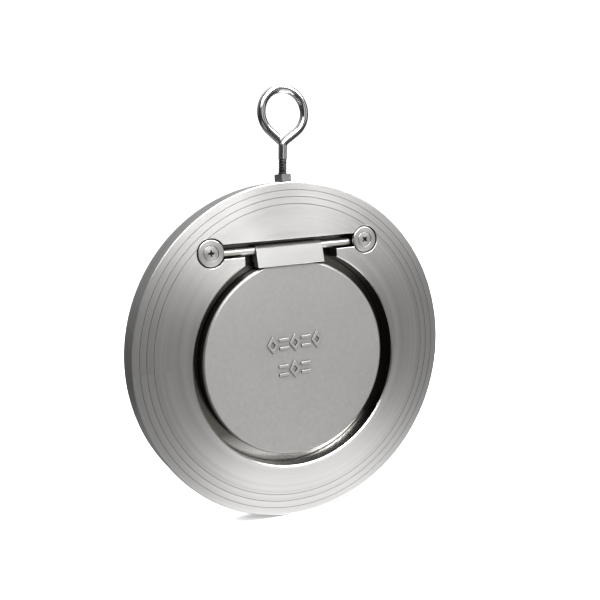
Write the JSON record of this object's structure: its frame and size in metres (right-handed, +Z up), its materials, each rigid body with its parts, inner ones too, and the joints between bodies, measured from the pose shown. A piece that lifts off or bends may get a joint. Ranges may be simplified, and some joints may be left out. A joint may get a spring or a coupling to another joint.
{
  "type": "wafer check valve",
  "caption": "Slim wafer swing check valve: a steel ring with a hinged round flap in a turned pocket, its pin held by screwed washers, and an eye bolt on top for lifting.",
  "frame": {"origin": "centre of the body ring, midway between its two gasket faces", "axes": "Y is the flow axis: the pocket side with the flap faces -Y and flow runs towards -Y; X is along the hinge pin; +Z is up, towards the eye bolt"},
  "size_m": [0.218, 0.019, 0.279],
  "materials": {
    "turned_steel": "fine concentric turning marks, satin",
    "blasted_steel": "bead-blasted casting, soft grey satin",
    "bright_steel": "bright, lightly milled or cold drawn",
    "polished_wire": "polished",
    "seal_rubber": "matt black"
  },
  "bodies": {
    "valve_body": {"body_ring": "turned_steel", "seat_seal": "seal_rubber", "pin_washer_left": "bright_steel", "pin_washer_right": "bright_steel", "pin_screw_left": "bright_steel", "pin_screw_right": "bright_steel", "eye_bolt": "polished_wire", "eye_bolt_nut": "bright_steel"},
    "clapper": {"clapper_disc": "blasted_steel", "hinge_lug": "bright_steel"},
    "pin": {"hinge_pin": "bright_steel"}
  },
  "joints": [
    {"name": "clapper_swing", "type": "hinge", "parent": "valve_body", "child": "clapper", "pos_m": [0, -0.0026, 0.0673], "axis": [-1, 0, 0], "range_deg": [0, 90]},
    {"name": "hinge_pin_roll", "type": "hinge", "parent": "valve_body", "child": "pin", "pos_m": [0, -0.0026, 0.0673], "axis": [1, 0, 0], "continuous": true}
  ]
}
